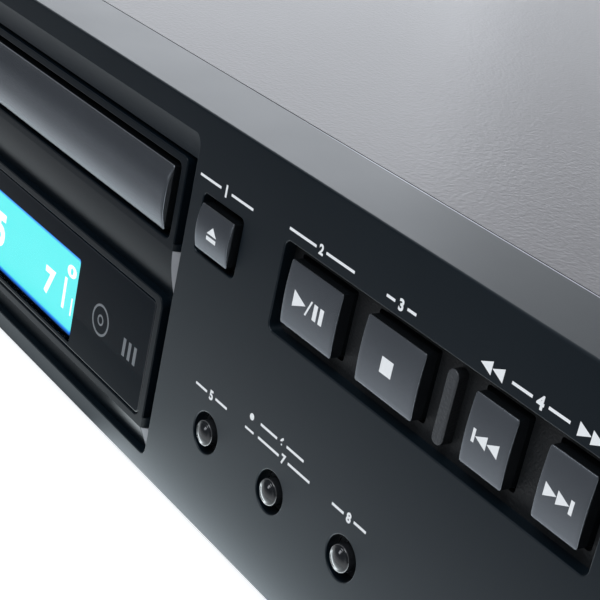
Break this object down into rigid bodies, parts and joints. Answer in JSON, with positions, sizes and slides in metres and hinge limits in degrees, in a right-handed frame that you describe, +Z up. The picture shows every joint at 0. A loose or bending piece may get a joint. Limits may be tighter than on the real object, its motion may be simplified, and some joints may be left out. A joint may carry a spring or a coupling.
{
  "type": "rack-mount cd player",
  "caption": "Low rack-mount disc player: dark moulded front with sliding disc tray over a display window, cushioned transport keys, small round keys, grey metal case and the disc loader inside.",
  "frame": {"origin": "centre of the four rack slots, on the rear face of the rack ears, where they bear on the rails", "axes": "+X to the right seen from the front, +Y into the machine away from the viewer, +Z up"},
  "size_m": [0.4826, 0.2933, 0.094],
  "materials": {
    "panel": "fine matte moulding, dark grey",
    "bezel": "fine matte moulding, darker grey",
    "well": "coarse spark texture",
    "key": "satin, lightly grained",
    "round_key": "polished",
    "lens": "clear smoked acrylic",
    "case": "grained powder coat, dark grey",
    "chassis": "zinc plated",
    "ear": "fine matte powder coat",
    "screw": "black zinc",
    "foot": "moulded, matte",
    "board": "green solder mask",
    "switch": "moulded",
    "socket": "moulded",
    "knob": "satin, fluted",
    "cell": "liquid crystal cell, lit blue-green",
    "light_box": "white diffusing moulding",
    "tray": "fine matte moulding",
    "gear": "natural acetal",
    "belt": "ground square section",
    "motor": "plated can",
    "loader": "glass-filled moulding",
    "bridge": "zinc plated",
    "clamper": "moulded",
    "damper": "soft moulded",
    "rod": "ground and polished",
    "pickup": "moulded",
    "lens_glass": "clear aspheric lens in a moulded holder",
    "slider": "natural acetal",
    "parts": "components",
    "transformer": "varnished laminations",
    "ribbon": "flat flexible cable",
    "jack": "plated sleeves"
  },
  "bodies": {
    "chassis": {"front_panel": "panel", "display_bezel": "bezel", "window_lens": "lens", "key_surround": "well", "top_cover": "case", "bottom_chassis": "chassis", "rear_panel": "chassis", "rack_ear_left": "ear", "rack_ear_right": "ear", "ear_screws": "screw", "case_screws": "screw", "feet": "foot", "key_board": "board", "switches": "switch", "phones_jack": "socket", "level_pot": "motor", "lcd_panel": "cell", "lcd_holder": "light_box", "display_board": "board", "drive_belt": "belt", "loading_motor": "motor", "loader_frame": "loader", "loader_brackets": "chassis", "clamper_bridge": "bridge", "main_board": "board", "power_board": "board", "board_parts": "parts", "transformer": "transformer", "flex_cable": "ribbon", "ac_inlet": "socket", "rear_jacks": "jack"},
    "tray": {"disc_tray": "tray", "tray_door": "panel"},
    "drive_gear": {"drive_gear": "gear"},
    "pulley_gear": {"pulley_gear": "gear"},
    "motor_pulley": {"motor_pulley": "gear"},
    "cam_slider": {"cam_slider": "slider"},
    "lift": {"lift_frame": "loader", "dampers": "damper", "traverse_plate": "bridge", "spindle_motor": "motor", "guide_rods": "rod", "sled_motor": "motor"},
    "turntable": {"turntable": "clamper"},
    "pickup": {"optical_pickup": "pickup"},
    "objective_lens": {"objective_lens": "lens_glass"},
    "sled_gear": {"sled_gear": "gear"},
    "sled_pinion": {"sled_pinion": "gear"},
    "clamper": {"clamper": "clamper"},
    "open_close_key": {"open_close_key": "key"},
    "play_key": {"play_key": "key"},
    "stop_key": {"stop_key": "key"},
    "skip_back_key": {"skip_back_key": "key"},
    "skip_forward_key": {"skip_forward_key": "key"},
    "display_key": {"display_key": "round_key"},
    "play_mode_key": {"play_mode_key": "round_key"},
    "repeat_key": {"repeat_key": "round_key"},
    "power_key": {"power_key": "key"},
    "level_knob": {"level_knob": "knob"}
  },
  "joints": [
    {"name": "tray_slide", "type": "slide", "parent": "chassis", "child": "tray", "axis": [0, -1, 0], "range_m": [0, 0.134]},
    {"name": "drive_gear_spin", "type": "hinge", "parent": "chassis", "child": "drive_gear", "pos_m": [-0.0999, 0.03, 0.0086], "axis": [0, 0, 1], "range_deg": [0, 960]},
    {"name": "pulley_gear_spin", "type": "hinge", "parent": "chassis", "child": "pulley_gear", "pos_m": [-0.0819, 0.03, 0.0086], "axis": [0, 0, 1], "range_deg": [-1920, 0]},
    {"name": "motor_pulley_spin", "type": "hinge", "parent": "chassis", "child": "motor_pulley", "pos_m": [-0.0599, 0.022, 0.0029], "axis": [0, 0, 1], "range_deg": [-6124, 0]},
    {"name": "lift_hinge", "type": "hinge", "parent": "chassis", "child": "lift", "pos_m": [-0.0419, 0.15, 0], "axis": [-1, 0, 0], "range_deg": [0, 6]},
    {"name": "cam_slide", "type": "slide", "parent": "chassis", "child": "cam_slider", "axis": [1, 0, 0], "range_m": [0, 0.018]},
    {"name": "turntable_spin", "type": "hinge", "parent": "lift", "child": "turntable", "pos_m": [-0.0419, 0.06646, -0.00878], "axis": [0, -0.1045, 0.9945], "continuous": true},
    {"name": "clamper_spin", "type": "hinge", "parent": "chassis", "child": "clamper", "pos_m": [-0.0419, 0.066, 0.025], "axis": [0, 0, 1], "continuous": true},
    {"name": "pickup_slide", "type": "slide", "parent": "lift", "child": "pickup", "axis": [0, 0.9945, 0.1045], "range_m": [0, 0.035]},
    {"name": "sled_gear_spin", "type": "hinge", "parent": "lift", "child": "sled_gear", "pos_m": [-0.0739, 0.10077, -0.00517], "axis": [0, -0.1045, 0.9945], "range_deg": [0, 251]},
    {"name": "sled_pinion_spin", "type": "hinge", "parent": "lift", "child": "sled_pinion", "pos_m": [-0.0739, 0.1135, -0.00384], "axis": [0, -0.1045, 0.9945], "range_deg": [-418, 0]},
    {"name": "lens_focus", "type": "slide", "parent": "pickup", "child": "objective_lens", "axis": [0, -0.1045, 0.9945], "range_m": [-0.0006, 0.0006], "stiffness_N_per_m": 200},
    {"name": "open_close_press", "type": "slide", "parent": "chassis", "child": "open_close_key", "axis": [0, 1, 0], "range_m": [0, 0.0006], "stiffness_N_per_m": 400},
    {"name": "play_press", "type": "slide", "parent": "chassis", "child": "play_key", "axis": [0, 1, 0], "range_m": [0, 0.0006], "stiffness_N_per_m": 400},
    {"name": "stop_press", "type": "slide", "parent": "chassis", "child": "stop_key", "axis": [0, 1, 0], "range_m": [0, 0.0006], "stiffness_N_per_m": 400},
    {"name": "skip_back_press", "type": "slide", "parent": "chassis", "child": "skip_back_key", "axis": [0, 1, 0], "range_m": [0, 0.0006], "stiffness_N_per_m": 400},
    {"name": "skip_forward_press", "type": "slide", "parent": "chassis", "child": "skip_forward_key", "axis": [0, 1, 0], "range_m": [0, 0.0006], "stiffness_N_per_m": 400},
    {"name": "display_press", "type": "slide", "parent": "chassis", "child": "display_key", "axis": [0, 1, 0], "range_m": [0, 0.0006], "stiffness_N_per_m": 400},
    {"name": "play_mode_press", "type": "slide", "parent": "chassis", "child": "play_mode_key", "axis": [0, 1, 0], "range_m": [0, 0.0006], "stiffness_N_per_m": 400},
    {"name": "repeat_press", "type": "slide", "parent": "chassis", "child": "repeat_key", "axis": [0, 1, 0], "range_m": [0, 0.0006], "stiffness_N_per_m": 400},
    {"name": "power_press", "type": "slide", "parent": "chassis", "child": "power_key", "axis": [0, 1, 0], "range_m": [0, 0.003], "stiffness_N_per_m": 500},
    {"name": "level_turn", "type": "hinge", "parent": "chassis", "child": "level_knob", "pos_m": [-0.156, -0.01, -0.0218], "axis": [0, -1, 0], "range_deg": [-150, 150]}
  ],
  "couplings": [
    {"joint": "drive_gear_spin", "follows": "tray_slide", "rad_per_m": 125},
    {"joint": "pulley_gear_spin", "follows": "tray_slide", "rad_per_m": -250},
    {"joint": "motor_pulley_spin", "follows": "tray_slide", "rad_per_m": -797.62},
    {"joint": "cam_slide", "follows": "lift_hinge", "m_per_rad": 0.17188},
    {"joint": "sled_gear_spin", "follows": "pickup_slide", "rad_per_m": 125},
    {"joint": "sled_pinion_spin", "follows": "pickup_slide", "rad_per_m": -208.33}
  ]
}
